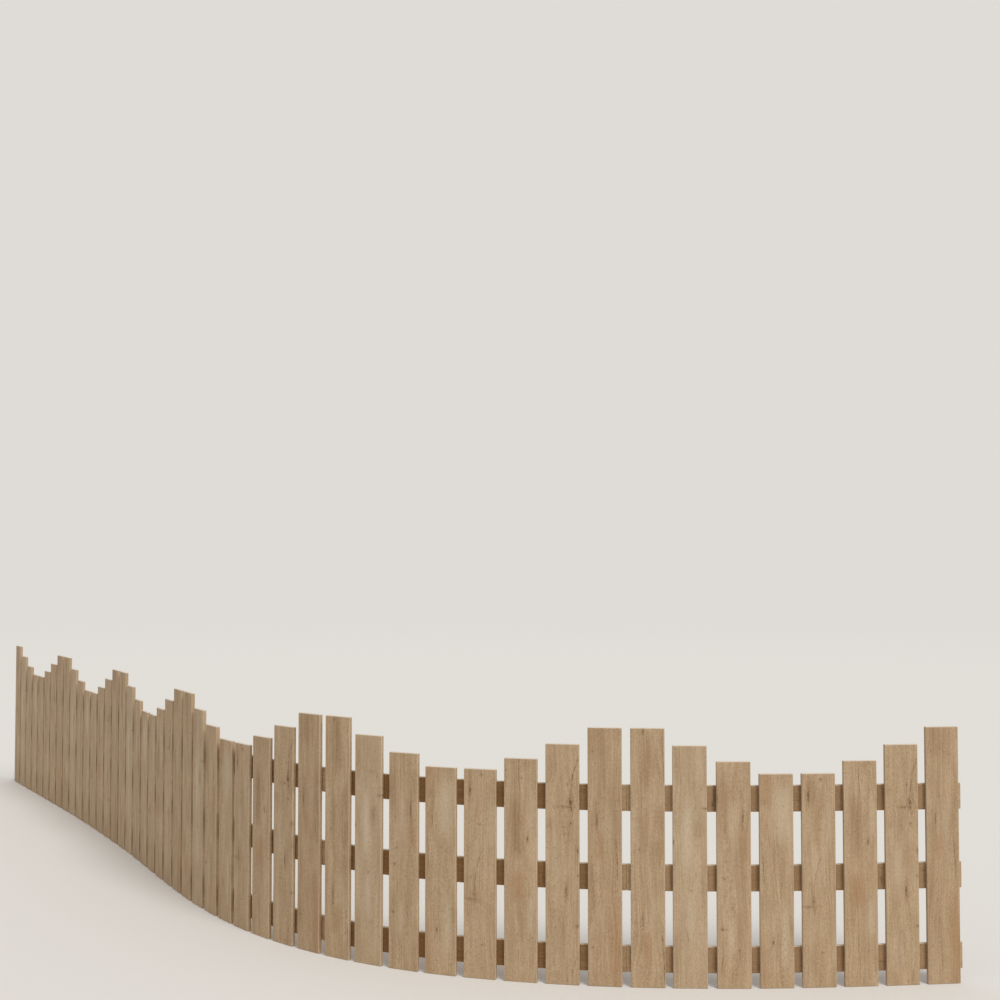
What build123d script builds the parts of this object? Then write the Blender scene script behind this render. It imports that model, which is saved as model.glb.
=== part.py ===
from build123d import *
import os
from math import atan2, cos, degrees, radians, sin

# Curved wooden garden fence: bays of flat boards (pickets) on the front of three bent rails.
# Frame: +X from the left end of the run to its right end as seen from the front, +Y to the
# back (rail side), +Z up. The origin is the centre of one picket's foot, on the ground.

# Pickets, in millimetres
PICKET_WIDTH = 120.0
PICKET_THICKNESS = 16.0
PICKET_SPACING = 30.0
# Picket heights from a bay's end to its middle; the other half of the bay mirrors them
PICKET_HEIGHTS = (900.0, 840.0, 785.0, 742.0)
# The second picket from the left stands this far to the left of its even place in every bay
OFFSET_PICKET = 1
OFFSET_DISTANCE = 3.0

# Rails, in millimetres: centre heights from the ground
RAIL_HEIGHT = 92.0
RAIL_THICKNESS = 16.0
RAIL_LEVELS = {"bottom": 94.0, "middle": 376.5, "top": 653.0}

# Rounding of every sawn edge, and the hairline between a picket's back and the rails
EDGE_ROUND = 3.0
SEAT_CLEARANCE = 0.2

# Bend of each bay's left and right half in degrees, from the left end of the run to the right.
# A positive bend turns the run to the left seen from above, so it bulges to the front.
BAY_BENDS = ((0.0, 0.0), (-1.5, -1.0), (-2.0, 1.5), (7.5, 16.0), (19.5, 12.5), (9.0, 3.5))

# The picket whose foot is the origin: bay and place in it, both counted from the left
ORIGIN_BAY = 4
ORIGIN_PICKET = 1

PITCH = PICKET_WIDTH + PICKET_SPACING
BAY_HEIGHTS = PICKET_HEIGHTS + PICKET_HEIGHTS[::-1]
BAY_LENGTH = PITCH * len(BAY_HEIGHTS)
HALF_BAY = BAY_LENGTH / 2
HALF_BENDS = [radians(bend) for bay in BAY_BENDS for bend in bay]


def hollow_bend_rise():
    """How far a picket's edges stand nearer to the rails than its middle, where the run bends inwards."""
    sharpest = max(-bend for bend in HALF_BENDS)
    return max(0.0, sharpest) / HALF_BAY * PICKET_WIDTH**2 / 8


# The rails' front face lies this far behind the line of the pickets' faces
RAIL_SETBACK = PICKET_THICKNESS + SEAT_CLEARANCE + hollow_bend_rise()


def arc_step(x, y, heading, bend, length):
    """The point and heading after a run of this length that turns evenly by the bend."""
    chord = length if bend == 0 else 2 * length / bend * sin(bend / 2)
    course = heading + bend / 2
    return x + chord * cos(course), y + chord * sin(course), heading + bend


def run_marks():
    """Start point and heading of every half bay on the pickets' face line, and the end of the last."""
    marks = [(0.0, 0.0, 0.0)]
    for bend in HALF_BENDS:
        marks.append(arc_step(*marks[-1], bend, HALF_BAY))
    return marks


MARKS = run_marks()
# The straight line from the run's left end to its right end is turned to lie along +X
RUN_TURN = -atan2(MARKS[-1][1], MARKS[-1][0])


def face_point(distance):
    """Point and heading on the pickets' face line, this far along the run, before the frame is set."""
    half = min(int(distance // HALF_BAY), len(HALF_BENDS) - 1)
    along = distance - half * HALF_BAY
    return arc_step(*MARKS[half], HALF_BENDS[half] * along / HALF_BAY, along)


def picket_distance(bay, place):
    """How far along the run the middle of a picket stands; bay and place count from 0."""
    even_place = bay * BAY_LENGTH + place * PITCH + PITCH / 2
    return even_place - OFFSET_DISTANCE if place == OFFSET_PICKET else even_place


def foot_before_frame(distance):
    """Middle of a picket's foot, half its thickness behind the face line, before the frame is set."""
    x, y, heading = face_point(distance)
    return x - PICKET_THICKNESS / 2 * sin(heading), y + PICKET_THICKNESS / 2 * cos(heading)


ORIGIN_X, ORIGIN_Y = foot_before_frame(picket_distance(ORIGIN_BAY - 1, ORIGIN_PICKET - 1))


def plan_point(distance, setback):
    """Point in the frame's plan, this far along the run and behind the face line, and its heading."""
    x, y, heading = face_point(distance)
    x, y = x - setback * sin(heading) - ORIGIN_X, y + setback * cos(heading) - ORIGIN_Y
    c, s = cos(RUN_TURN), sin(RUN_TURN)
    return Vector(x * c - y * s, x * s + y * c), heading + RUN_TURN


def eased(solid):
    """The solid with all its edges rounded."""
    return solid.fillet(EDGE_ROUND, solid.edges())


def picket(bay, place):
    """One flat board, standing on the ground and facing square out of the run."""
    spot, heading = plan_point(picket_distance(bay, place), PICKET_THICKNESS / 2)
    board = Solid.make_box(PICKET_WIDTH, PICKET_THICKNESS, BAY_HEIGHTS[place])
    board = eased(board).moved(Location((-PICKET_WIDTH / 2, -PICKET_THICKNESS / 2, 0)))
    return board.moved(Location((spot.X, spot.Y, 0), (0, 0, degrees(heading))))


def rail_edge(start, end, setback):
    """Plan line of a rail's face over one half bay: an arc, or a line where the half bay is straight."""
    points = [plan_point(distance, setback)[0] for distance in (start, (start + end) / 2, end)]
    if HALF_BENDS[int((start + end) / 2 // HALF_BAY)] == 0:
        return Edge.make_line(points[0], points[2])
    return Edge.make_three_point_arc(*points)


def rail_plan(bay):
    """Plan outline of a bay's rails: bent with the run, and cut square at both ends."""
    stops = [bay * BAY_LENGTH + step * HALF_BAY for step in range(3)]
    back = RAIL_SETBACK + RAIL_THICKNESS
    front_edges = [rail_edge(a, b, RAIL_SETBACK) for a, b in zip(stops, stops[1:])]
    back_edges = [rail_edge(a, b, back) for a, b in zip(stops, stops[1:])]
    ends = [
        Edge.make_line(plan_point(stop, RAIL_SETBACK)[0], plan_point(stop, back)[0])
        for stop in (stops[0], stops[-1])
    ]
    return Face(Wire(front_edges + back_edges + ends))


def rail(bay, level):
    """One rail of a bay, with its centre at the level."""
    board = Solid.extrude(rail_plan(bay), Vector(0, 0, RAIL_HEIGHT))
    return eased(board).moved(Location((0, 0, level - RAIL_HEIGHT / 2)))


def main():
    os.makedirs("parts", exist_ok=True)
    for bay in range(len(BAY_BENDS)):
        pickets = [picket(bay, place) for place in range(len(BAY_HEIGHTS))]
        export_step(Compound(children=pickets), f"parts/bay_{bay + 1}_pickets.step")
        for name, level in RAIL_LEVELS.items():
            export_step(rail(bay, level), f"parts/bay_{bay + 1}_{name}_rail.step")


if __name__ == "__main__":
    main()
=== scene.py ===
import logging
from dataclasses import dataclass, replace
from enum import Enum
from math import pi, radians
from typing import Any

import bpy
import numpy as np
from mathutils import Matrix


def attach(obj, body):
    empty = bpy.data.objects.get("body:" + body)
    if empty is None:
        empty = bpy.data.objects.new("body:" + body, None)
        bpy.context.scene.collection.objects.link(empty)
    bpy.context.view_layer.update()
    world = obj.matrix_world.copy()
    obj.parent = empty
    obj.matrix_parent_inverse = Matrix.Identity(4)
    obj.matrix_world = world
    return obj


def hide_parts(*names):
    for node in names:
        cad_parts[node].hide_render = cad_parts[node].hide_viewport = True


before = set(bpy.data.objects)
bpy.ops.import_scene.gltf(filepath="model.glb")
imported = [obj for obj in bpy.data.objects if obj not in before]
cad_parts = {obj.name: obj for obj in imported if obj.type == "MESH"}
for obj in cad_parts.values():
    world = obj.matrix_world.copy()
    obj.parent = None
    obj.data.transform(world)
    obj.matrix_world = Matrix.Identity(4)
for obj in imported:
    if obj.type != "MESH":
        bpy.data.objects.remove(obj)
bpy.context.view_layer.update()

# A low garden fence: flat oak boards in stepped bays, fixed to the front of three bent oak rails.
# Every board is a rounded box worked out as whole arrays, and carries what its wood shows as mesh
# attributes: where the grain runs, stains, splits and knots, and where light and shade are painted on.
# The oak material draws them full size.

Array = np.ndarray
LOG = logging.getLogger("picket_fence")
MM = 0.001
# How far from a board its tree's heart may lie, and how far apart two boards may be cut, in metres.
TREE_SPAN = np.array([0.08, 0.0, 30.0])
# Attributes for knots: those that lie too near each other go to different ones.
KNOT_SETS = ("knot_a", "knot_b", "knot_c")
# Starts the draw of where in its tree each board was cut.
SEED = 48


class Tint(Enum):
    """What a soft streak does to the wood's colour; the value is its channel in the stain attribute."""

    BROWN = 0
    RED = 1
    PALE = 2


class RailRow(Enum):
    """Which of a bay's three rails; the value is its word in the names of the piece and the node."""

    TOP = "top"
    MIDDLE = "middle"
    BOTTOM = "bottom"


@dataclass(frozen=True)
class Knot:
    """A knot or short dark mark: an ellipse on the face, in mm from the board's left edge and foot."""

    u: float
    v: float
    half_width: float
    half_height: float
    strength: float


@dataclass(frozen=True)
class Split:
    """A drying split: a line of (u, v) points in mm from the left edge and foot, and its half width."""

    path: tuple[tuple[float, float], ...]
    half_width: float


@dataclass(frozen=True)
class Streak:
    """A soft streak of colour along the grain, in mm from the board's left edge and foot."""

    tint: Tint
    u: float
    v: float
    half_width: float
    half_height: float
    strength: float


@dataclass(frozen=True)
class BoardFigure:
    """All that one board's face shows, besides its grain.

    Attributes:
        knots: knots and short marks.
        splits: at most three drying splits.
        streaks: soft streaks of colour.
        back_share: how much of the streaks shows on the back.
    """

    knots: tuple[Knot, ...] = ()
    splits: tuple[Split, ...] = ()
    streaks: tuple[Streak, ...] = ()
    back_share: float = 0.7


# The boards of a bay from left to right: the same eight figures come back in every bay.
PICKET_FIGURES = (
    BoardFigure(
        knots=(
            Knot(45, 887, 5, 9, 0.75),
            Knot(31, 477, 2, 6, 0.8),
            Knot(42, 234, 4.5, 32, 0.65),
            Knot(42, 202, 3, 4, 0.9),
        ),
        splits=(
            Split(((109, 876), (114, 790), (117, 706)), 0.55),
            Split(((108, 188), (112, 140), (115, 100), (117, 18)), 0.95),
        ),
        streaks=(
            Streak(Tint.BROWN, 57, 790, 18, 95, 0.65),
            Streak(Tint.BROWN, 43, 540, 14, 75, 0.4),
            Streak(Tint.RED, 55, 140, 15, 50, 0.8),
            Streak(Tint.BROWN, 100, 585, 17, 45, 0.4),
            Streak(Tint.BROWN, 102, 460, 17, 50, 0.4),
            Streak(Tint.BROWN, 104, 348, 15, 34, 0.35),
            Streak(Tint.PALE, 14, 560, 11, 80, 0.4),
            Streak(Tint.PALE, 78, 250, 15, 70, 0.35),
        ),
    ),
    BoardFigure(
        knots=(
            Knot(2, 505, 3, 8, 0.8),
            Knot(113, 622, 8, 3, 0.7),
            Knot(62, 337, 3.5, 3, 0.55),
            Knot(101, 690, 2, 5, 0.5),
        ),
        splits=(Split(((47, 208), (52, 170), (55, 146)), 0.4),),
        streaks=(
            Streak(Tint.PALE, 52, 520, 15, 115, 0.9),
            Streak(Tint.PALE, 62, 250, 16, 80, 0.55),
            Streak(Tint.PALE, 60, 420, 300, 2000, 0.22),
            Streak(Tint.BROWN, 85, 550, 14, 32, 0.5),
            Streak(Tint.RED, 78, 705, 15, 10, 0.35),
            Streak(Tint.BROWN, 18, 765, 13, 65, 0.4),
            Streak(Tint.BROWN, 12, 120, 12, 75, 0.45),
            Streak(Tint.BROWN, 110, 360, 9, 70, 0.3),
        ),
    ),
    BoardFigure(
        knots=(
            Knot(91, 580, 5, 40, 0.65),
            Knot(32, 438, 4, 3.5, 0.7),
            Knot(25, 380, 4, 4, 0.8),
            Knot(18, 205, 5.5, 3.5, 0.8),
            Knot(28, 547, 1.6, 8, 0.7),
            Knot(77, 133, 2.6, 4, 0.85),
            Knot(3, 655, 3, 34, 0.5),
        ),
        splits=(
            Split(((29, 470), (34, 461), (42, 450)), 0.9),
            Split(((30, 119), (20, 100), (15, 85), (13, 55)), 0.55),
            Split(((77, 136), (79, 110), (79, 86)), 0.6),
        ),
        streaks=(
            Streak(Tint.BROWN, 20, 640, 22, 90, 0.55),
            Streak(Tint.RED, 96, 488, 13, 50, 0.85),
            Streak(Tint.BROWN, 92, 375, 12, 115, 0.4),
            Streak(Tint.PALE, 50, 180, 11, 65, 0.6),
            Streak(Tint.BROWN, 80, 210, 10, 65, 0.35),
            Streak(Tint.PALE, 56, 560, 14, 80, 0.4),
        ),
    ),
    BoardFigure(
        knots=(
            Knot(46, 158, 3, 9, 0.9),
            Knot(19, 647, 6, 12, 0.25),
            Knot(78, 445, 1.6, 2.5, 0.5),
        ),
        splits=(
            Split(((6, 510), (10, 470), (12, 440), (12, 400), (15, 360)), 0.85),
            Split(((24, 586), (30, 540), (36, 482)), 0.45),
            Split(((39, 146), (35, 118)), 0.5),
        ),
        streaks=(
            Streak(Tint.RED, 20, 690, 20, 70, 0.7),
            Streak(Tint.PALE, 80, 600, 30, 100, 0.75),
            Streak(Tint.RED, 9, 95, 11, 100, 0.6),
            Streak(Tint.PALE, 88, 180, 13, 105, 0.7),
            Streak(Tint.BROWN, 113, 222, 8, 26, 0.45),
            Streak(Tint.RED, 15, 560, 10, 45, 0.4),
        ),
    ),
    BoardFigure(
        knots=(
            Knot(24, 665, 5, 25, 0.85),
            Knot(67, 721, 4.5, 4, 0.75),
            Knot(60, 546, 5, 3, 0.65),
            Knot(39, 298, 5, 6, 0.5),
            Knot(24, 279, 20, 4.5, 0.45),
            Knot(27, 357, 1.6, 4, 0.7),
            Knot(71, 120, 7, 3, 0.45),
            Knot(67, 39, 3.5, 2.5, 0.5),
        ),
        splits=(Split(((45, 243), (41, 282), (39, 300), (42, 342), (50, 395), (60, 431), (71, 462)), 0.6),),
        streaks=(
            Streak(Tint.BROWN, 40, 290, 15, 34, 0.3),
            Streak(Tint.PALE, 96, 560, 12, 80, 0.5),
            Streak(Tint.PALE, 46, 430, 12, 60, 0.4),
            Streak(Tint.RED, 70, 620, 20, 45, 0.2),
            Streak(Tint.BROWN, 24, 700, 12, 40, 0.35),
        ),
    ),
    BoardFigure(
        knots=(
            Knot(86, 502, 3.5, 10, 0.9),
            Knot(65, 715, 1.8, 3.5, 0.85),
            Knot(8, 742, 2.5, 2, 0.5),
        ),
        splits=(
            Split(((55, 784), (54, 745), (54, 710), (57, 685), (59, 660)), 0.8),
            Split(((49, 184), (51, 130), (53, 80), (54, 6)), 0.45),
        ),
        streaks=(
            Streak(Tint.BROWN, 42, 545, 18, 105, 0.8),
            Streak(Tint.RED, 50, 335, 26, 55, 0.8),
            Streak(Tint.PALE, 96, 235, 14, 65, 0.55),
            Streak(Tint.PALE, 102, 600, 10, 70, 0.4),
            Streak(Tint.BROWN, 78, 765, 14, 24, 0.35),
        ),
    ),
    BoardFigure(
        knots=(
            Knot(89, 637, 7, 13, 0.9),
            Knot(68, 620, 22, 5, 0.5),
            Knot(91, 563, 4, 4.5, 0.75),
            Knot(78, 699, 2, 5, 0.85),
            Knot(45, 689, 1.6, 3.5, 0.7),
            Knot(73, 326, 3.5, 21, 0.85),
            Knot(114, 468, 4, 9, 0.75),
            Knot(113, 205, 4.5, 4, 0.8),
            Knot(115, 381, 3, 4.5, 0.65),
            Knot(77, 16, 1.6, 4.5, 0.8),
        ),
        splits=(
            Split(
                ((97, 588), (91, 620), (88, 641), (89, 657), (94, 694), (97, 736), (108, 762), (118, 798)),
                1.3,
            ),
            Split(((79, 508), (86, 540), (91, 563)), 0.4),
            Split(((94, 6), (97, 59), (114, 100)), 0.6),
        ),
        streaks=(
            Streak(Tint.BROWN, 95, 640, 14, 50, 0.4),
            Streak(Tint.BROWN, 18, 563, 17, 20, 0.4),
            Streak(Tint.PALE, 40, 420, 20, 95, 0.4),
            Streak(Tint.BROWN, 76, 326, 9, 40, 0.35),
            Streak(Tint.PALE, 40, 110, 20, 70, 0.25),
        ),
    ),
    BoardFigure(
        knots=(
            Knot(32, 573, 4.5, 35, 0.65),
            Knot(18, 817, 2, 3, 0.75),
            Knot(18, 134, 2.2, 3.5, 0.85),
            Knot(57, 589, 1.6, 3, 0.55),
            Knot(108, 647, 6, 14, 0.2),
        ),
        splits=(Split(((104, 366), (103, 437), (101, 470), (99, 514)), 0.95),),
        streaks=(
            Streak(Tint.RED, 44, 485, 14, 46, 0.8),
            Streak(Tint.RED, 100, 150, 22, 155, 0.8),
            Streak(Tint.BROWN, 102, 590, 12, 130, 0.35),
            Streak(Tint.BROWN, 40, 850, 34, 60, 0.4),
            Streak(Tint.PALE, 70, 560, 16, 85, 0.4),
            Streak(Tint.BROWN, 15, 330, 11, 105, 0.3),
            Streak(Tint.BROWN, 60, 450, 300, 2000, 0.12),
        ),
    ),
)

# Rails lie on their side: u runs down their height and v along them from the bay's left end.
RAIL_FIGURES = {
    RailRow.TOP: BoardFigure(
        knots=(Knot(40, 308, 30, 2.2, 0.7), Knot(66, 304, 7, 3.5, 0.75), Knot(30, 820, 3, 8, 0.7)),
        splits=(Split(((52, 560), (55, 640), (50, 760)), 0.5),),
        streaks=(
            Streak(Tint.BROWN, 46, 310, 60, 8, 0.75),
            Streak(Tint.BROWN, 46, 142, 60, 5, 0.5),
            Streak(Tint.BROWN, 30, 905, 50, 8, 0.5),
            # Painted light: both ends are painted paler, as where light reaches the rail at the joints.
            Streak(Tint.PALE, 46, 20, 60, 45, 1.0),
            Streak(Tint.PALE, 46, 1185, 60, 40, 0.9),
        ),
        back_share=0.1,
    ),
    RailRow.MIDDLE: BoardFigure(
        knots=(Knot(58, 905, 9, 2.2, 0.8), Knot(30, 540, 3.5, 9, 0.7)),
        splits=(Split(((30, 180), (34, 280), (31, 380)), 0.5),),
        streaks=(
            Streak(Tint.BROWN, 46, 160, 60, 8, 0.5),
            Streak(Tint.BROWN, 46, 312, 60, 7, 0.55),
            Streak(Tint.RED, 46, 460, 60, 14, 0.4),
            # Painted light: both ends are painted paler, as where light reaches the rail at the joints.
            Streak(Tint.PALE, 46, 20, 60, 45, 0.9),
            Streak(Tint.PALE, 46, 1185, 60, 40, 0.8),
        ),
        back_share=0.1,
    ),
    RailRow.BOTTOM: BoardFigure(
        knots=(Knot(24, 14, 8, 2, 0.7), Knot(60, 700, 4, 9, 0.8)),
        splits=(Split(((60, 840), (57, 930), (62, 1010)), 0.5),),
        streaks=(
            Streak(Tint.BROWN, 46, 160, 60, 8, 0.5),
            Streak(Tint.BROWN, 60, 308, 40, 9, 0.6),
            Streak(Tint.RED, 46, 760, 60, 14, 0.4),
            # Painted light: both ends are painted paler, as where light reaches the rail at the joints.
            Streak(Tint.PALE, 46, 20, 60, 45, 0.8),
            Streak(Tint.PALE, 46, 1185, 60, 40, 0.7),
        ),
        back_share=0.1,
    ),
}

# Painted light and shade on the rails' fronts: bay 5's rails are painted darker and redder, as painted
# shade, and bay 6's are painted paler, as painted light.
# Keys count the bays from the left, from 1.
RAIL_PAINTED_LIGHT_AND_SHADE = {
    5: (Streak(Tint.RED, 46, 480, 300, 560, 0.8), Streak(Tint.BROWN, 46, 300, 300, 330, 0.15)),
    6: (
        Streak(Tint.PALE, 46, 600, 300, 2000, 0.22),
        Streak(Tint.PALE, 46, 0, 300, 330, 0.35),
        Streak(Tint.PALE, 46, 1200, 300, 260, 0.25),
    ),
}


@dataclass(frozen=True)
class FenceSizes:
    """The fence's driving sizes in metres, the same as its solids have, and its plan.

    Attributes:
        picket_spacing: gap between two pickets.
        picket_heights: heights from a bay's end to its middle.
        offset_picket: place in the bay, from 0, of the picket that stands off its even place.
        offset_distance: how far to the left that one stands.
        rail_levels: height of each rail's middle.
        edge_round: radius of every sawn edge.
        seat_clearance: least distance from a picket's back to a rail.
        bay_bends: bend in degrees of each bay's left and right half, from the left end of the run.
        origin_bay: bay whose picket stands on the frame's origin, from 1.
        origin_picket: that picket's place in its bay, from 1.
    """

    picket_width: float = 120 * MM
    picket_thickness: float = 16 * MM
    picket_spacing: float = 30 * MM
    picket_heights: tuple[float, ...] = (900 * MM, 840 * MM, 785 * MM, 742 * MM)
    offset_picket: int = 1
    offset_distance: float = 3 * MM
    rail_height: float = 92 * MM
    rail_thickness: float = 16 * MM
    rail_levels: tuple[tuple[RailRow, float], ...] = (
        (RailRow.TOP, 653 * MM),
        (RailRow.MIDDLE, 376.5 * MM),
        (RailRow.BOTTOM, 94 * MM),
    )
    edge_round: float = 3 * MM
    seat_clearance: float = 0.2 * MM
    bay_bends: tuple[tuple[float, float], ...] = (
        (0.0, 0.0),
        (-1.5, -1.0),
        (-2.0, 1.5),
        (7.5, 16.0),
        (19.5, 12.5),
        (9.0, 3.5),
    )
    origin_bay: int = 4
    origin_picket: int = 1

    @property
    def pitch(self) -> float:
        """Distance from one picket's middle to the next along the face line."""
        return self.picket_width + self.picket_spacing

    @property
    def bay_heights(self) -> tuple[float, ...]:
        """Heights of a bay's pickets from left to right."""
        return self.picket_heights + self.picket_heights[::-1]

    @property
    def bay_length(self) -> float:
        """Length of a bay along the face line."""
        return self.pitch * len(self.bay_heights)

    @property
    def rail_setback(self) -> float:
        """How far the rails' front lies behind the face line, clear of pickets in a hollow bend."""
        sharpest = max(0.0, max(-radians(bend) for bay in self.bay_bends for bend in bay))
        rise = sharpest / (self.bay_length / 2) * self.picket_width**2 / 8
        return self.picket_thickness + self.seat_clearance + rise

    def picket_distance(self, bay: int, place: int) -> float:
        """How far along the run a picket's middle stands.

        Args:
            bay: the bay from the left, from 0.
            place: the picket's place in the bay, from 0.

        Returns:
            The distance from the run's left end.
        """
        even = bay * self.bay_length + (place + 0.5) * self.pitch
        return even - self.offset_distance if place == self.offset_picket else even


class RunPlan:
    """The fence's line in plan: one arc for each half bay, set in the row's frame."""

    def __init__(self, sizes: FenceSizes) -> None:
        """Lays the arcs end to end and sets the frame.

        Args:
            sizes: the fence's sizes and bends.
        """
        self.half_bay = sizes.bay_length / 2
        self.bends = np.radians([bend for bay in sizes.bay_bends for bend in bay])
        self.turn, self.origin = 0.0, np.zeros(2)
        self.marks = np.zeros((1, 3))
        for step in range(len(self.bends)):
            end = self._along(np.array([(step + 1) * self.half_bay]), step)
            self.marks = np.vstack([self.marks, end])
        last_x, last_y, _ = self.marks[-1]
        foot = sizes.picket_distance(sizes.origin_bay - 1, sizes.origin_picket - 1)
        self.origin = self.at(np.array([foot]), sizes.picket_thickness / 2)[0][0]
        self.turn = -np.arctan2(last_y, last_x)

    def _along(self, distance: Array, half: Array | int) -> Array:
        """Points of an arc: its chord 2 r sin(bend / 2), laid off at its start heading plus half the bend.

        Args:
            distance: distances along the run.
            half: the half bay that each lies in.

        Returns:
            x, y and heading of each, before the frame is set.
        """
        along = distance - half * self.half_bay
        bend = self.bends[half] * along / self.half_bay
        start = self.marks[half]
        chord = along * np.sinc(bend / 2 / pi)
        heading = start[..., 2]
        x = start[..., 0] + chord * np.cos(heading + bend / 2)
        y = start[..., 1] + chord * np.sin(heading + bend / 2)
        return np.stack([x, y, heading + bend], -1)

    def at(self, distance: Array, setback: Array | float) -> tuple[Array, Array]:
        """Points in the row's frame.

        Args:
            distance: distances along the face line from the run's left end.
            setback: distances behind the face line.

        Returns:
            The points in plan, and the run's heading at each.
        """
        half = np.clip((distance // self.half_bay).astype(int), 0, len(self.bends) - 1)
        x, y, heading = np.moveaxis(self._along(distance, half), -1, 0)
        x = x - setback * np.sin(heading) - self.origin[0]
        y = y + setback * np.cos(heading) - self.origin[1]
        c, s = np.cos(self.turn), np.sin(self.turn)
        return np.stack([x * c - y * s, x * s + y * c], -1), heading + self.turn


@dataclass
class Skin:
    """A closed surface: points, their normals, triangles, and what each point carries for the material."""

    points: Array
    normals: Array
    triangles: Array
    carried: dict[str, Array]

    @staticmethod
    def joined(skins: list["Skin"]) -> "Skin":
        """Puts skins together.

        Args:
            skins: skins that carry the same values.

        Returns:
            All of them as one skin.
        """
        starts = np.cumsum([0] + [len(skin.points) for skin in skins[:-1]])
        return Skin(
            np.concatenate([skin.points for skin in skins]),
            np.concatenate([skin.normals for skin in skins]),
            np.concatenate([skin.triangles + start for skin, start in zip(skins, starts)]),
            {key: np.concatenate([skin.carried[key] for skin in skins]) for key in skins[0].carried},
        )

    def placed(self, points: Array, normals: Array) -> "Skin":
        """The skin in its final place; what faces up is marked for a painted highlight from the light above.

        Args:
            points: the points' final places.
            normals: the normals there.

        Returns:
            The placed skin.
        """
        wear_and_painted_light = self.carried["wear_and_painted_light"].copy()
        # Painted light: faces that point up get a share of a near white colour, a painted highlight from
        # above.
        wear_and_painted_light[:, 2] = np.clip(normals[:, 2], 0, 1) ** 2
        return Skin(points, normals, self.triangles, {**self.carried, "wear_and_painted_light": wear_and_painted_light})

    def mesh_object(self, name: str) -> bpy.types.Object:
        """Puts the skin into a mesh, with its exact normals and its carried values as attributes.

        Args:
            name: name of the object and its mesh.

        Returns:
            The object, at the origin and linked to the scene.
        """
        mesh = bpy.data.meshes.new(name)
        count = len(self.triangles)
        mesh.vertices.add(len(self.points))
        mesh.vertices.foreach_set("co", self.points.astype(np.float32).ravel())
        mesh.loops.add(count * 3)
        mesh.loops.foreach_set("vertex_index", self.triangles.astype(np.int32).ravel())
        mesh.polygons.add(count)
        mesh.polygons.foreach_set("loop_start", np.arange(0, count * 3, 3, dtype=np.int32))
        mesh.update(calc_edges=True)
        mesh.polygons.foreach_set("use_smooth", np.ones(count, dtype=bool))
        for key, values in self.carried.items():
            layer = mesh.attributes.new(key, "FLOAT_VECTOR", "POINT")
            layer.data.foreach_set("vector", values.astype(np.float32).ravel())
        mesh.normals_split_custom_set_from_vertices(self.normals)
        piece = bpy.data.objects.new(name, mesh)
        bpy.context.scene.collection.objects.link(piece)
        return piece


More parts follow.
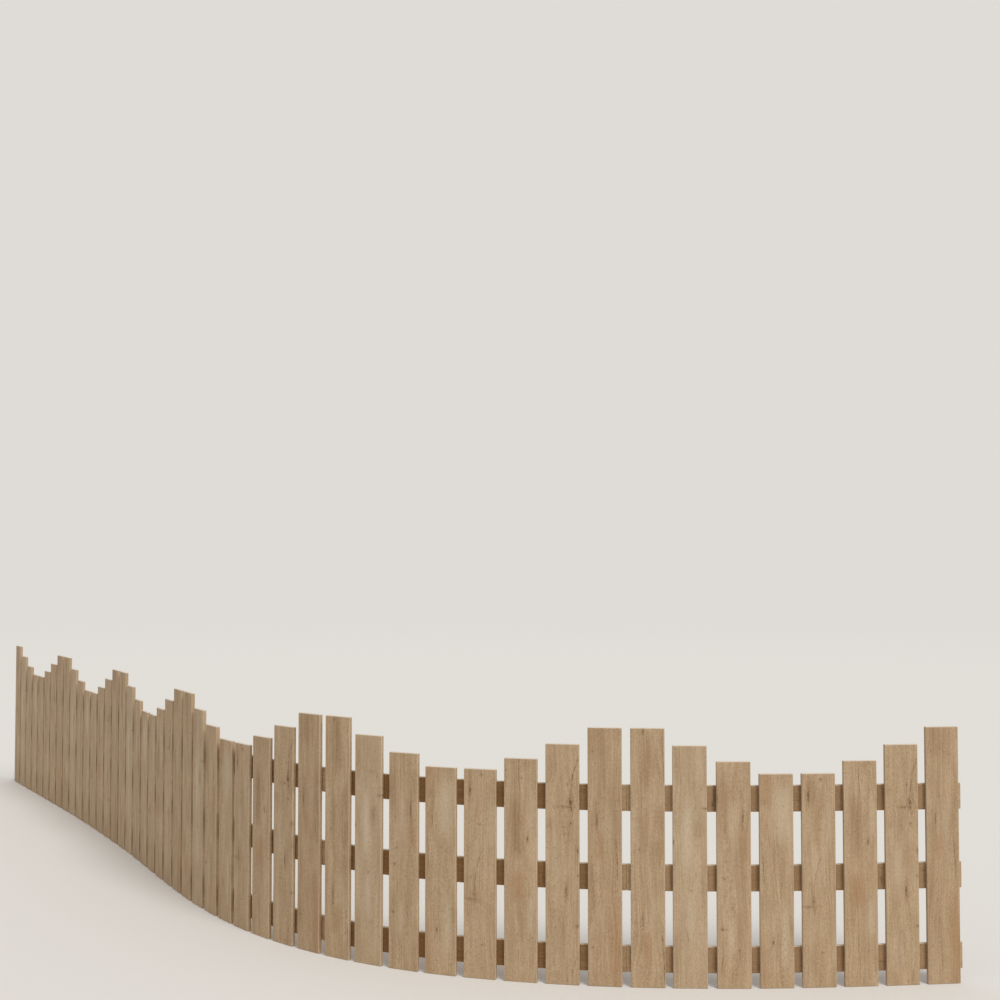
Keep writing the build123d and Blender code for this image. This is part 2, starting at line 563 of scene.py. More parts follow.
@dataclass(frozen=True)
class OakBoard:
    """One planed board with rounded edges, in its own coordinates: u across, d to the back, v along.

    Attributes:
        columns: points across each broad face.
        row_step: largest distance between two rows along the board.
        arc_steps: steps round each rounded edge.
    """

    width: float
    thickness: float
    length: float
    edge_round: float
    figure: BoardFigure
    columns: int = 13
    row_step: float = 8 * MM
    arc_steps: int = 4

    def ring(self) -> tuple[Array, Array]:
        """The cross-section's core points and outward normals, counter-clockwise from the front's left end.

        Returns:
            Core points on the board's rectangle less its rounding, and the unit normals there.
        """
        half_u = self.width / 2 - self.edge_round
        half_d = self.thickness / 2 - self.edge_round
        across = np.linspace(-half_u, half_u, self.columns)
        quarter = np.linspace(0, pi / 2, self.arc_steps + 1)
        front_turns = np.full(self.columns - 2, -pi / 2)
        back_turns = np.full(self.columns - 2, pi / 2)
        turns = np.concatenate(
            [front_turns, quarter - pi / 2, quarter, back_turns, quarter + pi / 2, quarter + pi]
        )
        arc = np.ones(self.arc_steps + 1)
        core_u = np.concatenate(
            [across[1:-1], arc * half_u, arc * half_u, across[-2:0:-1], -arc * half_u, -arc * half_u]
        )
        face = np.ones(self.columns - 2)
        core_d = np.concatenate(
            [-face * half_d, -arc * half_d, arc * half_d, face * half_d, arc * half_d, -arc * half_d]
        )
        return np.stack([core_u, core_d], -1), np.stack([np.cos(turns), np.sin(turns)], -1)

    def rows(self) -> tuple[Array, Array]:
        """The board's rows: a quarter turn at the foot, its length, and a quarter turn at the top.

        Returns:
            Core height and latitude of every row.
        """
        flat = self.length - 2 * self.edge_round
        steps = np.linspace(0, 1, int(np.ceil(flat / self.row_step)) + 1)
        quarter = np.linspace(0, pi / 2, self.arc_steps + 1)[1:]
        heights = np.concatenate([quarter * 0, steps * flat, quarter * 0 + flat]) + self.edge_round
        return heights, np.concatenate([quarter[::-1] * -1, steps * 0, quarter])

    def skin(self, bed: Array) -> Skin:
        """The board's surface: its core box swelled by a ball of the edge's radius.

        Each point is the core point plus the radius times (cos latitude * ring normal, sin latitude).

        Args:
            bed: where in the tree the board was cut, added to the grain's coordinates.

        Returns:
            The closed skin in the board's own coordinates.
        """
        core, out = self.ring()
        heights, latitudes = self.rows()
        rows, ring = len(heights), len(core)
        cosine, sine = np.cos(latitudes)[:, None], np.sin(latitudes)[:, None]
        normals = np.stack([cosine * out[:, 0], cosine * out[:, 1], sine + 0 * out[:, 0]], -1)
        levels = heights[:, None] + 0 * core[:, 0]
        cores = np.stack([core[:, 0] + 0 * sine, core[:, 1] + 0 * sine, levels], -1)
        points = (cores + self.edge_round * normals).reshape(-1, 3)
        lower = np.arange(rows - 1)[:, None] * ring + np.arange(ring)
        after = np.arange(rows - 1)[:, None] * ring + np.roll(np.arange(ring), -1)
        walls = np.stack([lower, after, after + ring, lower + ring], -1).reshape(-1, 4)
        front = np.arange(-1, self.columns - 1) % ring
        back = (2 * self.columns - 2 + 2 * self.arc_steps) - np.arange(self.columns) % ring
        cap = np.stack([front[:-1], front[1:], back[1:], back[:-1]], -1)
        quads = np.concatenate([walls, cap[:, ::-1], cap + (rows - 1) * ring])
        triangles = np.concatenate([quads[:, [0, 1, 2]], quads[:, [0, 2, 3]]])
        return self._welded(points, normals.reshape(-1, 3), triangles, bed)

    def _welded(self, points: Array, normals: Array, triangles: Array, bed: Array) -> Skin:
        """Merges points that coincide, drops triangles that collapse, and adds what the points carry.

        Args:
            points: the surface's points.
            normals: their normals.
            triangles: indices of the points.
            bed: where in the tree the board was cut.

        Returns:
            The closed skin.
        """
        weld_distance = 1e-4 * MM
        keys = np.round(points / weld_distance).astype(np.int64)
        _, first, index = np.unique(keys, axis=0, return_index=True, return_inverse=True)
        triangles = index.reshape(-1)[triangles]
        a, b, c = triangles.T
        whole = (a != b) & (b != c) & (c != a)
        points, normals = points[first], normals[first]
        return Skin(points, normals, triangles[whole], self.carried(points, normals, bed))

    def carried(self, points: Array, normals: Array, bed: Array) -> dict[str, Array]:
        """What each point tells the oak material.

        Edges count as worn most where the normal points halfway between two faces, and not at all on a face.

        Args:
            points: the skin's points.
            normals: the skin's normals.
            bed: where in the tree the board was cut.

        Returns:
            The grain's coordinates in metres, strengths of the streaks and of the painted light and shade,
            distances to splits and their half widths in mm, the sets of knot coordinates in knot radii, and
            how worn the ends and edges are, with a channel that placed later fills with painted top light.
        """
        u = points[:, 0] / MM + self.width / MM / 2
        v = points[:, 2] / MM
        knots, flow = self._knot_fields(u, v)
        split, split_half = self._split_fields(u, v, normals[:, 1] > 0)
        grain = points + bed
        grain[:, 0] += flow * MM
        side, face, end = (normals**2).T
        edge = 4 * side * face + 2 * end * (1 - end)
        return {
            "grain": grain,
            "stain_and_painted_light": self._stain_and_painted_light_field(u, v, normals[:, 1] > 0),
            "split": split,
            "split_half": split_half,
            **dict(zip(KNOT_SETS, knots)),
            "wear_and_painted_light": np.stack([end, edge, 0 * edge], -1),
        }

    def _stain_and_painted_light_field(self, u: Array, v: Array, behind: Array) -> Array:
        """Strength of each tint: bells across the board times flat-topped bells along it, added up.

        Args:
            u: distances from the left edge, in mm.
            v: distances from the foot, in mm.
            behind: which points are on the back.

        Returns:
            A column for each tint.
        """
        field = np.zeros((len(u), len(Tint)))
        for streak in self.figure.streaks:
            across = np.exp(-(((u - streak.u) / streak.half_width) ** 2))
            along = np.exp(-(((v - streak.v) / streak.half_height) ** 4))
            field[:, streak.tint.value] += streak.strength * across * along
        return np.clip(field, 0, 1) * np.where(behind, self.figure.back_share, 1.0)[:, None]

    def _split_fields(self, u: Array, v: Array, behind: Array) -> tuple[Array, Array]:
        """Where the splits run: each line's u at a height is read from its path, point to point.

        Args:
            u: distances from the left edge, in mm.
            v: distances from the foot, in mm.
            behind: which points are on the back.

        Returns:
            Distances across the board to each split's line, and its half width, tapered to its ends.
        """
        taper_length, back_share = 25.0, 0.6
        channels, far, hairline = 3, 100.0, 1e-4
        distance = np.full((len(u), channels), far)
        half = np.full((len(u), channels), hairline)
        for channel, split in enumerate(self.figure.splits):
            line_u, line_v = np.array(sorted(split.path, key=lambda point: point[1])).T
            distance[:, channel] = u - np.interp(v, line_v, line_u)
            inside = np.clip(np.minimum(v - line_v[0], line_v[-1] - v) / taper_length, 0, 1)
            half[:, channel] += split.half_width * np.sqrt(inside) * np.where(behind, back_share, 1.0)
        return distance, half

    def _knot_fields(self, u: Array, v: Array) -> tuple[list[Array], Array]:
        """Coordinates in each knot's radii, with its strength, on a box round it; and how grain bends past.

        The strength drops to nothing in the box's outermost cells, so that no triangle at its rim shows
        the knot. Knots whose boxes overlap go to different sets. Grain is pushed aside by a share of the
        knot's half width times x exp(-x^2 / 6 - y^2 / 5).

        Args:
            u: distances from the left edge, in mm.
            v: distances from the foot, in mm.

        Returns:
            The sets of (x, y, strength), and the grain's shift in mm.
        """
        far, push, halo, rim = 9.0, 0.75, 3.4, 1.1
        column_step = (self.width - 2 * self.edge_round) / (self.columns - 1)
        sets = [np.tile([far, far, 0.0], (len(u), 1)) for _ in KNOT_SETS]
        taken = [np.zeros(len(u), dtype=bool) for _ in KNOT_SETS]
        flow = np.zeros(len(u))
        for knot in self.figure.knots:
            beyond_u = np.abs(u - knot.u) - halo * knot.half_width
            beyond_v = np.abs(v - knot.v) - halo * knot.half_height
            beyond = np.maximum(beyond_u * MM / column_step, beyond_v * MM / self.row_step)
            box = beyond < 2 * rim
            place = next(k for k, marked in enumerate(taken) if not np.any(marked & box))
            taken[place] |= box
            x, y = (u - knot.u) / knot.half_width, (v - knot.v) / knot.half_height
            values = np.stack([x, y, np.where(beyond < rim, knot.strength, 0.0)], -1)
            sets[place][box] = values[box]
            flow -= push * knot.half_width * knot.strength * x * np.exp(-(x**2) / 6 - y**2 / 5)
        return sets, flow


def linear(hex_colour: str) -> tuple[float, float, float, float]:
    """Turns a colour to the values that the shaders work with.

    Args:
        hex_colour: sRGB colour as #RRGGBB.

    Returns:
        Linear red, green and blue, and an alpha of 1.
    """
    values = np.array([int(hex_colour[k : k + 2], 16) for k in (1, 3, 5)]) / 255
    rgb = np.where(values <= 0.04045, values / 12.92, ((values + 0.055) / 1.055) ** 2.4)
    return (*rgb.tolist(), 1.0)


def add(tree: bpy.types.NodeTree, kind: str, inputs: dict[int | str, Any], **settings: Any) -> Any:
    """Adds a shader node with its settings, and fills its inputs.

    Args:
        tree: node tree to add to.
        kind: the node's type, without its ShaderNode prefix.
        inputs: for each input, an output socket to link or a value to set.
        settings: the node's own properties.

    Returns:
        The node's outputs.
    """
    node = tree.nodes.new(f"ShaderNode{kind}")
    for key, value in settings.items():
        setattr(node, key, value)
    for key, value in inputs.items():
        if isinstance(value, bpy.types.NodeSocket):
            tree.links.new(value, node.inputs[key])
        else:
            node.inputs[key].default_value = value
    return node.outputs


# Setting of a MapRange node that steps softly from one value to the other.
SOFT_STEP = {"interpolation_type": "SMOOTHSTEP"}


class Pattern(Enum):
    """The wood's patterns: a cell's size across the board and along it in mm, and its finer octaves."""

    # How the grain drifts aside, and how the heart's depth changes along the board.
    DRIFT = (70, 330, 1.0)
    SLANT = (100, 380, 1.0)
    # Clouds of colour, bands of growth, and the fibres.
    CLOUDS = (34, 150, 2.0)
    BANDS = (10, 260, 2.0)
    FIBRES = (1.8, 42, 2.0)
    # Ripples across the grain, ray flecks drawn out along it, and the planed surface's fine speckle.
    RIPPLES = (26, 6, 1.0)
    FLECKS = (2.6, 9, 1.0)
    SPECKLE = (0.9, 3.4, 1.0)
    # Pores are drawn about twice as wide as they are: they would vanish between the pixels.
    PORES = (1.1, 12, 1.0)
    # What makes knots ragged, what makes splits wander, and what breaks them.
    KNOT_EDGE = (1.7, 5.5, 3.0)
    SPLIT_LINE = (3, 8, 2.0)
    SPLIT_BREAKS = (9, 26, 1.0)


@dataclass(frozen=True)
class PlanedOak:
    """Oak boards, planed and left bare: a dry satin face, fine grain with soft brown, reddish and pale
    streaks, small dark knots, thin dark splits, and a painted highlight on the faces that point up.

    Attributes:
        name: name of the material.
        light: earlywood.
        dark: latewood.
        brown: brown streaks, pores and the rims of knots and splits.
        red: reddish streaks.
        pale: pale streaks and worn edges.
        knot: heart of a knot.
        split: inside of a split.
        end: sawn end grain.
        painted_top_light: a painted highlight on faces that point up, as from the light above.
        roughness: mean roughness of the planed face.
    """

    name: str
    light: str
    dark: str
    brown: str
    red: str
    pale: str
    knot: str
    split: str
    end: str
    painted_top_light: str
    roughness: float = 0.58

    def cells(self, tree: bpy.types.NodeTree, place: Any, pattern: Pattern) -> Any:
        """Noise whose cells have a pattern's size on the board.

        Args:
            tree: node tree to add to.
            place: socket with the place in metres.
            pattern: the pattern to draw.

        Returns:
            The noise's value socket.
        """
        across, along, detail = pattern.value
        scale = (1 / (across * MM), 1 / (across * MM), 1 / (along * MM))
        scaled = add(tree, "VectorMath", {0: place, 1: scale}, operation="MULTIPLY")[0]
        return add(tree, "TexNoise", {"Vector": scaled, "Scale": 1.0, "Detail": detail})[0]

    def grain_place(self, tree: bpy.types.NodeTree) -> Any:
        """The place in the wood, which wanders about 9 mm aside over a third of a metre.

        Args:
            tree: node tree to add to.

        Returns:
            The place's socket, in metres.
        """
        sway = 50 * MM
        grain = add(tree, "Attribute", {}, attribute_name="grain")["Vector"]
        wander = self.cells(tree, grain, Pattern.DRIFT)
        aside = add(tree, "Math", {0: wander, 1: sway, 2: -sway / 2}, operation="MULTIPLY_ADD")[0]
        shift = add(tree, "CombineXYZ", {0: aside})[0]
        return add(tree, "VectorMath", {0: grain, 1: shift}, operation="ADD")[0]

    def rings(self, tree: bpy.types.NodeTree, place: Any) -> Any:
        """Year rings cut at a slant: bands 5 mm apart about a heart whose depth changes along the board.

        Args:
            tree: node tree to add to.
            place: socket with the place in metres.

        Returns:
            The socket of the rings' tone.
        """
        ring_width, depth_span, shallowest = 5 * MM, 90 * MM, -12 * MM
        across, inward, along = add(tree, "SeparateXYZ", {0: place})
        height = add(tree, "CombineXYZ", {2: along})[0]
        slope = self.cells(tree, height, Pattern.SLANT)
        depth = add(tree, "Math", {0: slope, 1: depth_span, 2: shallowest}, operation="MULTIPLY_ADD")[0]
        depth = add(tree, "Math", {0: depth, 1: inward}, operation="ADD")[0]
        heart = add(tree, "CombineXYZ", {0: across, 1: depth})[0]
        radius = add(tree, "VectorMath", {0: heart}, operation="LENGTH")["Value"]
        bands = {"W": radius, "Scale": 1 / ring_width, "Detail": 1.0}
        return add(tree, "TexNoise", bands, noise_dimensions="1D")[0]

    def knots(self, tree: bpy.types.NodeTree, ragged: Any) -> tuple[Any, Any]:
        """Dark hearts and brown rims of all the knots.

        Args:
            tree: node tree to add to.
            ragged: noise that makes the outlines ragged.

        Returns:
            Sockets of the hearts' and the rims' share.
        """
        # Where a heart and its rim begin to fade and where they end, and how ragged both are, in knot radii.
        heart_fade, rim_fade, raggedness = (0.35, 0.95), (0.5, 3.0), 3.6
        outline = {0: ragged, 1: raggedness, 2: -raggedness / 2}
        uneven = add(tree, "Math", outline, operation="MULTIPLY_ADD")[0]
        hearts: Any = 0.0
        rims: Any = 0.0
        for key in KNOT_SETS:
            place = add(tree, "Attribute", {}, attribute_name=key)["Vector"]
            strength = add(tree, "SeparateXYZ", {0: place})[2]
            flat = add(tree, "VectorMath", {0: place, 1: (1, 1, 0)}, operation="MULTIPLY")[0]
            radius = add(tree, "VectorMath", {0: flat}, operation="LENGTH")["Value"]
            radius = add(tree, "Math", {0: radius, 1: uneven}, operation="ADD")[0]
            heart, rim = (
                add(tree, "MapRange", {0: radius, 1: near, 2: far, 3: strength, 4: 0.0}, **SOFT_STEP)[0]
                for near, far in (heart_fade, rim_fade)
            )
            hearts = add(tree, "Math", {0: heart, 1: hearts}, operation="MAXIMUM")[0]
            rims = add(tree, "Math", {0: rim, 1: rims}, operation="MAXIMUM")[0]
        return hearts, rims

    def splits(self, tree: bpy.types.NodeTree, ragged: Any, broken: Any) -> tuple[Any, Any]:
        """Dark lines of the splits and the brown rims beside them.

        Args:
            tree: node tree to add to.
            ragged: noise that makes the lines wander.
            broken: noise that thins the lines here and there.

        Returns:
            Sockets of the lines' and the rims' share.
        """
        # Where a line and its rim begin to fade and where they end, in half widths; and its sway in mm.
        line_fade, rim_fade, sway = (0.2, 1.3), (0.5, 6.0), 5.0
        # Strength of a line where it thins out and where it is whole.
        thin, whole = 0.2, 0.85
        distance = add(tree, "Attribute", {}, attribute_name="split")["Vector"]
        half = add(tree, "Attribute", {}, attribute_name="split_half")["Vector"]
        wandering = add(tree, "Math", {0: ragged, 1: sway, 2: -sway / 2}, operation="MULTIPLY_ADD")[0]
        moved = add(tree, "VectorMath", {0: distance, 1: wandering}, operation="ADD")[0]
        size = add(tree, "VectorMath", {0: moved}, operation="ABSOLUTE")[0]
        ratio = add(tree, "VectorMath", {0: size, 1: half}, operation="DIVIDE")[0]
        first, second, third = add(tree, "SeparateXYZ", {0: ratio})
        nearest = add(tree, "Math", {0: first, 1: second}, operation="MINIMUM")[0]
        nearest = add(tree, "Math", {0: nearest, 1: third}, operation="MINIMUM")[0]
        depth = add(tree, "MapRange", {0: broken, 1: 0.36, 2: 0.56, 3: thin, 4: whole}, **SOFT_STEP)[0]
        line, rim = (
            add(tree, "MapRange", {0: nearest, 1: near, 2: far, 3: depth, 4: 0.0}, **SOFT_STEP)[0]
            for near, far in (line_fade, rim_fade)
        )
        return line, rim

    def material(self) -> bpy.types.Material:
        """Builds the node material.

        Returns:
            The material, which reads the boards' own attributes.
        """
        material = bpy.data.materials.new(self.name)
        material.use_nodes = True
        tree = material.node_tree
        tree.nodes.clear()
        place = self.grain_place(tree)
        rings = self.rings(tree, place)
        bands = self.cells(tree, place, Pattern.BANDS)
        fibres = self.cells(tree, place, Pattern.FIBRES)
        flecks = self.cells(tree, place, Pattern.FLECKS)
        dashes = self.cells(tree, place, Pattern.PORES)
        pores = add(tree, "MapRange", {0: dashes, 1: 0.55, 2: 0.68}, **SOFT_STEP)[0]

        # Each pattern varies about a half, so half of its weight is taken off again.
        mean_tone = 0.45
        tone_parts = (
            (self.cells(tree, place, Pattern.CLOUDS), 0.85),
            (bands, 0.95),
            (fibres, 0.8),
            (rings, 0.5),
            (flecks, 1.05),
            (self.cells(tree, place, Pattern.SPECKLE), 1.7),
            (self.cells(tree, place, Pattern.RIPPLES), 0.2),
        )
        tone: Any = mean_tone - sum(weight for _, weight in tone_parts) / 2
        for part, weight in tone_parts:
            tone = add(tree, "Math", {0: part, 1: weight, 2: tone}, operation="MULTIPLY_ADD")[0]
        tone = add(tree, "Clamp", {0: tone})[0]
        growth = {0: tone, 6: linear(self.light), 7: linear(self.dark)}
        colour = add(tree, "Mix", growth, data_type="RGBA")[2]

        stain_and_painted_light = add(tree, "Attribute", {}, attribute_name="stain_and_painted_light")["Vector"]
        brown, red, pale = add(tree, "SeparateXYZ", {0: stain_and_painted_light})
        wear_and_painted_light = add(tree, "Attribute", {}, attribute_name="wear_and_painted_light")["Vector"]
        ends, edges, painted_top_share = add(tree, "SeparateXYZ", {0: wear_and_painted_light})
        hearts, knot_rims = self.knots(tree, self.cells(tree, place, Pattern.KNOT_EDGE))
        split_line = self.cells(tree, place, Pattern.SPLIT_LINE)
        lines, split_rims = self.splits(tree, split_line, self.cells(tree, place, Pattern.SPLIT_BREAKS))
        # Streaks follow the bands and the flecks, as grown wood has them.
        streaked = add(tree, "Math", {0: bands, 1: 0.9, 2: -0.05}, operation="MULTIPLY_ADD")[0]
        streaked = add(tree, "Math", {0: flecks, 1: 0.7, 2: streaked}, operation="MULTIPLY_ADD")[0]
        # From the bottom up: what covers the wood, how strongly, and with which colour.
        layers = (
            # On the rails these three shares also carry painted light and shade: paler ends, paler bay 6,
            # darker bay 5.
            (pale, streaked, self.pale),
            (brown, streaked, self.brown),
            (red, streaked, self.red),
            (pores, 0.46, self.brown),
            (ends, 0.6, self.end),
            (edges, 0.5, self.pale),
            # Painted highlight: faces that point up are painted near white.
            (painted_top_share, 0.8, self.painted_top_light),
            (knot_rims, 0.4, self.brown),
            (split_rims, 0.35, self.brown),
            (hearts, 0.8, self.knot),
            (lines, 0.95, self.split),
        )
        for share, weight, tint in layers:
            scaled = add(tree, "Math", {0: share, 1: weight}, operation="MULTIPLY")[0]
            colour = add(tree, "Mix", {0: scaled, 6: colour, 7: linear(tint)}, data_type="RGBA")[2]

        # Height of each part of the relief, as a share of its depth.
        relief_depth, rough_spread = 0.6 * MM, 0.16
        relief: Any = 0.0
        for part, weight in ((fibres, 0.25), (rings, 0.2), (pores, -0.25), (hearts, -0.4), (lines, -1.6)):
            relief = add(tree, "Math", {0: part, 1: weight, 2: relief}, operation="MULTIPLY_ADD")[0]
        bump = add(tree, "Bump", {"Strength": 0.5, "Distance": relief_depth, "Height": relief})[0]
        spread = {0: fibres, 1: rough_spread, 2: self.roughness - rough_spread / 2}
        rough = add(tree, "Math", spread, operation="MULTIPLY_ADD")[0]
        surface = {
            "Base Color": colour,
            "Roughness": rough,
            "Normal": bump,
            "IOR": 1.5,
            "Specular IOR Level": 0.25,
        }
        shader = add(tree, "BsdfPrincipled", surface)[0]
        add(tree, "OutputMaterial", {"Surface": shader})
        return material


# Planed boards in sun and rain: the eye sees a dry, pale honey brown with a faint satin glint, fine
# speckled grain, and a painted highlight, almost white, on the faces that point up.
PICKET_OAK = PlanedOak(
    name="bare planed oak, weathered in the open",
    light="#C2A888",
    dark="#9A7F5E",
    brown="#896845",
    red="#A27C57",
    pale="#C8B69C",
    knot="#5C412C",
    split="#523A28",
    end="#C7B59B",
    painted_top_light="#DED4C5",
)
# The same boards behind the pickets: a deeper, warmer brown, partly the rails' own tone and partly
# painted shade from the pickets in front; the paler ends are painted light.
RAIL_OAK_WITH_PAINTED_SHADE = PlanedOak(
    name="bare planed oak, browner, with painted shade",
    light="#9F7E5B",
    dark="#7C5C3C",
    brown="#5C3F25",
    red="#7B5524",
    pale="#C6A882",
    knot="#4E3524",
    split="#402C1F",
    end="#A08562",
    painted_top_light="#D3C4AE",
)


@dataclass
class PicketBay:
    """The eight pickets of one bay.

    Attributes:
        bay: the bay's number from the left, from 1.
        sizes: the fence's sizes.
        plan: the fence's line.
        random: source of where in the tree each board was cut.
    """

    bay: int
    sizes: FenceSizes
    plan: RunPlan
    random: np.random.Generator

    def board(self, place: int) -> Skin:
        """One picket, standing on its foot and facing square out of the run.

        Args:
            place: its place in the bay from the left, from 0.

        Returns:
            Its skin in the row's frame.
        """
        sizes = self.sizes
        height = sizes.bay_heights[place]
        oak = OakBoard(
            sizes.picket_width, sizes.picket_thickness, height, sizes.edge_round, PICKET_FIGURES[place]
        )
        skin = oak.skin(self.random.uniform(-1, 1, 3) * TREE_SPAN)
        distance = np.array([sizes.picket_distance(self.bay - 1, place)])
        spot, heading = self.plan.at(distance, sizes.picket_thickness / 2)
        c, s = np.cos(heading[0]), np.sin(heading[0])
        turn = np.array([[c, -s, 0], [s, c, 0], [0, 0, 1]])
        points = skin.points @ turn.T + np.append(spot[0], 0.0)
        return skin.placed(points, skin.normals @ turn.T)

    def build(self) -> bpy.types.Object:
        """Builds the bay's pickets, each with its own cut of the tree, as one piece."""
        boards = [self.board(place) for place in range(len(self.sizes.bay_heights))]
        return Skin.joined(boards).mesh_object(f"bay_{self.bay}_oak_pickets")

    def dress(self, piece: bpy.types.Object, oak: bpy.types.Material) -> None:
        """Gives the piece its oak and its place in the frame.

        Args:
            piece: the object that build made.
            oak: the material of its boards.
        """
        piece.data.materials.append(oak)
        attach(piece, "root")
        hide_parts(f"bay_{self.bay}_pickets")


@dataclass
class BentRail:
    """One rail of one bay: a flat board bent along the run.

    Attributes:
        bay: the bay's number from the left, from 1.
        row: which of the bay's rails.
        level: height of its middle.
        sizes: the fence's sizes.
        plan: the fence's line.
        random: source of where in the tree the board was cut.
    """

    bay: int
    row: RailRow
    level: float
    sizes: FenceSizes
    plan: RunPlan
    random: np.random.Generator

    def build(self) -> bpy.types.Object:
        """Builds the rail: the board's v runs along the line, its d behind it and its u downwards.

        Returns:
            The rail's object.
        """
        sizes, figure = self.sizes, RAIL_FIGURES[self.row]
        # Adds bay 5's painted shade and bay 6's painted light to the rail's own streaks.
        figure = replace(figure, streaks=figure.streaks + RAIL_PAINTED_LIGHT_AND_SHADE.get(self.bay, ()))
        oak = OakBoard(
            sizes.rail_height,
            sizes.rail_thickness,
            sizes.bay_length,
            sizes.edge_round,
            figure,
            columns=10,
            row_step=12 * MM,
        )
        skin = oak.skin(self.random.uniform(-1, 1, 3) * TREE_SPAN)
        down, behind, along = skin.points.T
        middle = sizes.rail_setback + sizes.rail_thickness / 2
        spots, heading = self.plan.at((self.bay - 1) * sizes.bay_length + along, middle + behind)
        points = np.column_stack([spots, self.level - down])
        c, s = np.cos(heading), np.sin(heading)
        out_down, out_behind, out_along = skin.normals.T
        normals = np.stack([out_along * c - out_behind * s, out_along * s + out_behind * c, -out_down], -1)
        return skin.placed(points, normals).mesh_object(f"bay_{self.bay}_{self.row.value}_oak_rail")

    def dress(self, piece: bpy.types.Object, oak: bpy.types.Material) -> None:
        """Gives the piece its oak and its place in the frame.

        Args:
            piece: the object that build made.
            oak: the material of its boards.
        """
        piece.data.materials.append(oak)
        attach(piece, "root")
        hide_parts(f"bay_{self.bay}_{self.row.value}_rail")


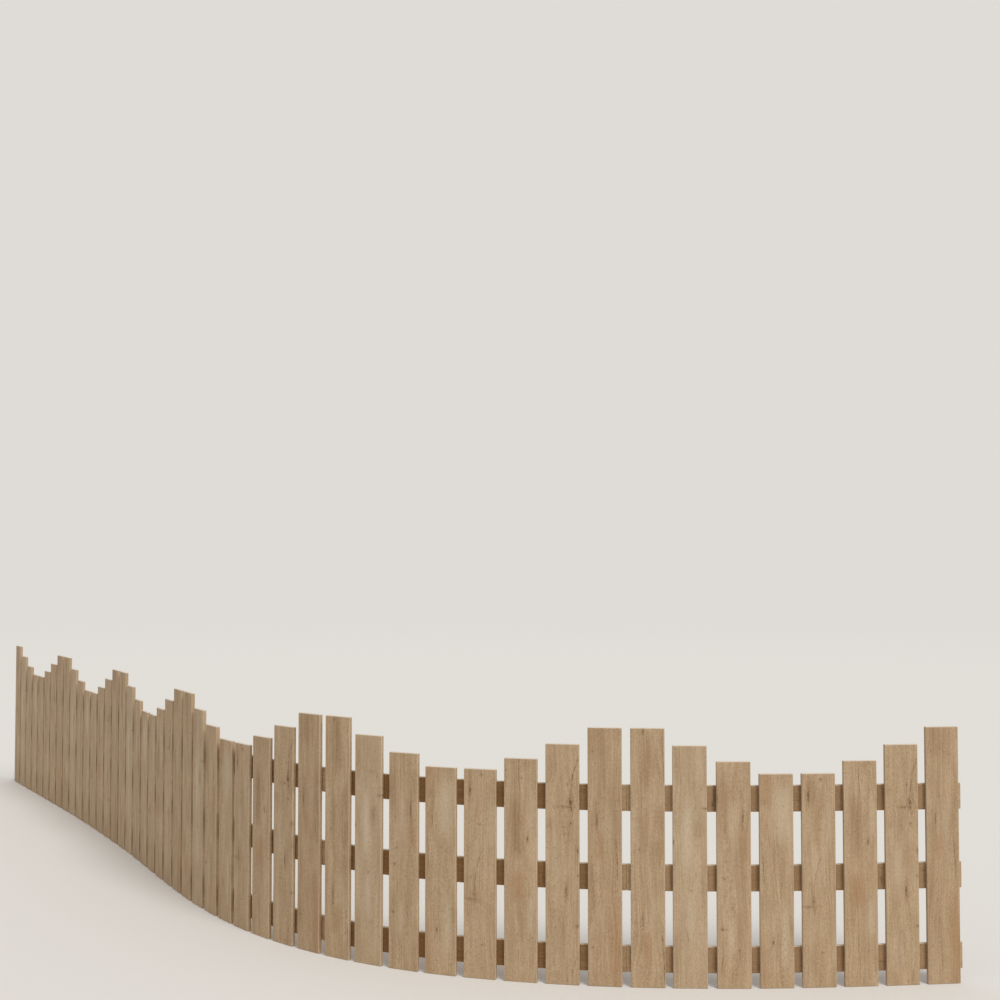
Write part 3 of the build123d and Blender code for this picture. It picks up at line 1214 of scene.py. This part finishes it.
@dataclass
class Studio:
    """Pale floor, soft light and the camera.

    Attributes:
        camera_spot: the camera's place in the row's frame.
        camera_tilt: degrees that it looks above the horizon.
        camera_turn: degrees that it is turned to the left from looking along +Y.
        lens: focal length in mm on a 36 mm sensor.
        view_depth: how far the camera sees.
        floor_radius: radius of the floor's disc.
        floor_fade: distances from the origin over which the floor fades out.
        floor_drop: how far the floor lies below the feet, so that the two don't share a plane.
        floor_rings: rings of the floor's grid.
        floor_sectors: sectors of the floor's grid.
        sky_strength: strength of the light from all round.
        key_strength: strength of the key light.
        key_softness: degrees that the key light is wide.
        key_height: degrees that it stands above the horizon.
        key_turn: degrees that it is turned to the left from shining along +Y.
    """

    camera_spot: tuple[float, float, float] = (5.146, -3.677, 1.510)
    camera_tilt: float = 2.239
    camera_turn: float = 41.893
    lens: float = 50.0
    view_depth: float = 200.0
    floor_radius: float = 40.0
    floor_fade: tuple[float, float] = (8.0, 30.0)
    floor_drop: float = 0.2 * MM
    floor_rings: int = 8
    floor_sectors: int = 64
    floor_colour: str = "#E3DFD9"
    backdrop_colour: str = "#DFDCD7"
    sky_strength: float = 0.6
    key_strength: float = 1.7
    key_softness: float = 24.0
    key_height: float = 46.0
    key_turn: float = 76.0

    def build(self) -> None:
        """Builds the floor, lights the scene and sets the camera."""
        self.floor()
        self.sky()
        self.key_light()
        self.camera()

    def floor(self) -> None:
        """A flat disc, radius times (cos, sin) on a polar grid, that fades out into the backdrop."""
        rings, sectors = self.floor_rings, self.floor_sectors
        radii = np.linspace(0, 1, rings + 1)[1:] * self.floor_radius
        turns = np.linspace(0, 2 * pi, sectors, endpoint=False)
        rim = np.stack([np.outer(radii, np.cos(turns)), np.outer(radii, np.sin(turns))], -1).reshape(-1, 2)
        points = np.column_stack([rim, np.full(len(rim), -self.floor_drop)])
        starts = np.arange(rings - 1)[:, None] * sectors
        inner = starts + np.arange(sectors)
        after = starts + np.roll(np.arange(sectors), -1)
        quads = np.stack([inner, inner + sectors, after + sectors, after], -1).reshape(-1, 4)
        mesh = bpy.data.meshes.new("floor")
        mesh.from_pydata(points.tolist(), [], quads.tolist() + [list(range(sectors))])
        floor = bpy.data.objects.new("floor", mesh)
        bpy.context.scene.collection.objects.link(floor)
        material = bpy.data.materials.new("matt studio floor")
        material.use_nodes = True
        tree = material.node_tree
        tree.nodes.clear()
        place = add(tree, "TexCoord", {})["Object"]
        away = add(tree, "VectorMath", {0: place}, operation="LENGTH")["Value"]
        near, far = self.floor_fade
        fade = add(tree, "MapRange", {0: away, 1: near, 2: far}, **SOFT_STEP)[0]
        matt = add(tree, "BsdfDiffuse", {"Color": linear(self.floor_colour)})[0]
        clear = add(tree, "BsdfTransparent", {})[0]
        shown = add(tree, "MixShader", {0: fade, 1: matt, 2: clear})[0]
        add(tree, "OutputMaterial", {"Surface": shown})
        mesh.materials.append(material)

    def sky(self) -> None:
        """Even soft light from all round; the camera and reflections see the pale backdrop instead."""
        world = bpy.data.worlds.new("studio")
        bpy.context.scene.world = world
        world.use_nodes = True
        tree = world.node_tree
        tree.nodes.clear()
        path = add(tree, "LightPath", {})
        seen = path["Is Camera Ray"]
        for ray in ("Is Glossy Ray", "Is Transmission Ray"):
            seen = add(tree, "Math", {0: seen, 1: path[ray]}, operation="MAXIMUM")[0]
        light = add(tree, "Background", {"Color": linear("#FFFFFF"), "Strength": self.sky_strength})[0]
        backdrop = add(tree, "Background", {"Color": linear(self.backdrop_colour), "Strength": 1.0})[0]
        both = add(tree, "MixShader", {0: seen, 1: light, 2: backdrop})[0]
        add(tree, "OutputWorld", {"Surface": both})

    def key_light(self) -> None:
        """A broad soft key from the front, above the camera's right shoulder."""
        lamp = bpy.data.lights.new("key", "SUN")
        lamp.energy = self.key_strength
        lamp.angle = radians(self.key_softness)
        key = bpy.data.objects.new("key", lamp)
        key.rotation_euler = (radians(90 - self.key_height), 0, radians(self.key_turn))
        bpy.context.scene.collection.objects.link(key)

    def camera(self) -> None:
        """The camera, at the photograph's place and angle."""
        data = bpy.data.cameras.new("camera")
        data.lens = self.lens
        data.clip_end = self.view_depth
        camera = bpy.data.objects.new("camera", data)
        camera.location = self.camera_spot
        camera.rotation_euler = (radians(90 + self.camera_tilt), 0, radians(self.camera_turn))
        bpy.context.scene.collection.objects.link(camera)
        bpy.context.scene.camera = camera


def main() -> None:
    """Builds the fence bay by bay, then the studio."""
    logging.basicConfig(level=logging.INFO, format="%(name)s: %(message)s")
    bpy.context.scene.view_settings.view_transform = "Standard"
    sizes = FenceSizes()
    plan = RunPlan(sizes)
    random = np.random.default_rng(SEED)
    picket_oak, rail_oak = PICKET_OAK.material(), RAIL_OAK_WITH_PAINTED_SHADE.material()
    for bay in range(1, len(sizes.bay_bends) + 1):
        pickets = PicketBay(bay, sizes, plan, random)
        piece = pickets.build()
        pickets.dress(piece, picket_oak)
        LOG.info("%s: %d triangles", piece.name, len(piece.data.polygons))
        for row, level in sizes.rail_levels:
            rail = BentRail(bay, row, level, sizes, plan, random)
            piece = rail.build()
            rail.dress(piece, rail_oak)
            LOG.info("%s: %d triangles", piece.name, len(piece.data.polygons))
    Studio().build()


if __name__ == "__main__":
    main()
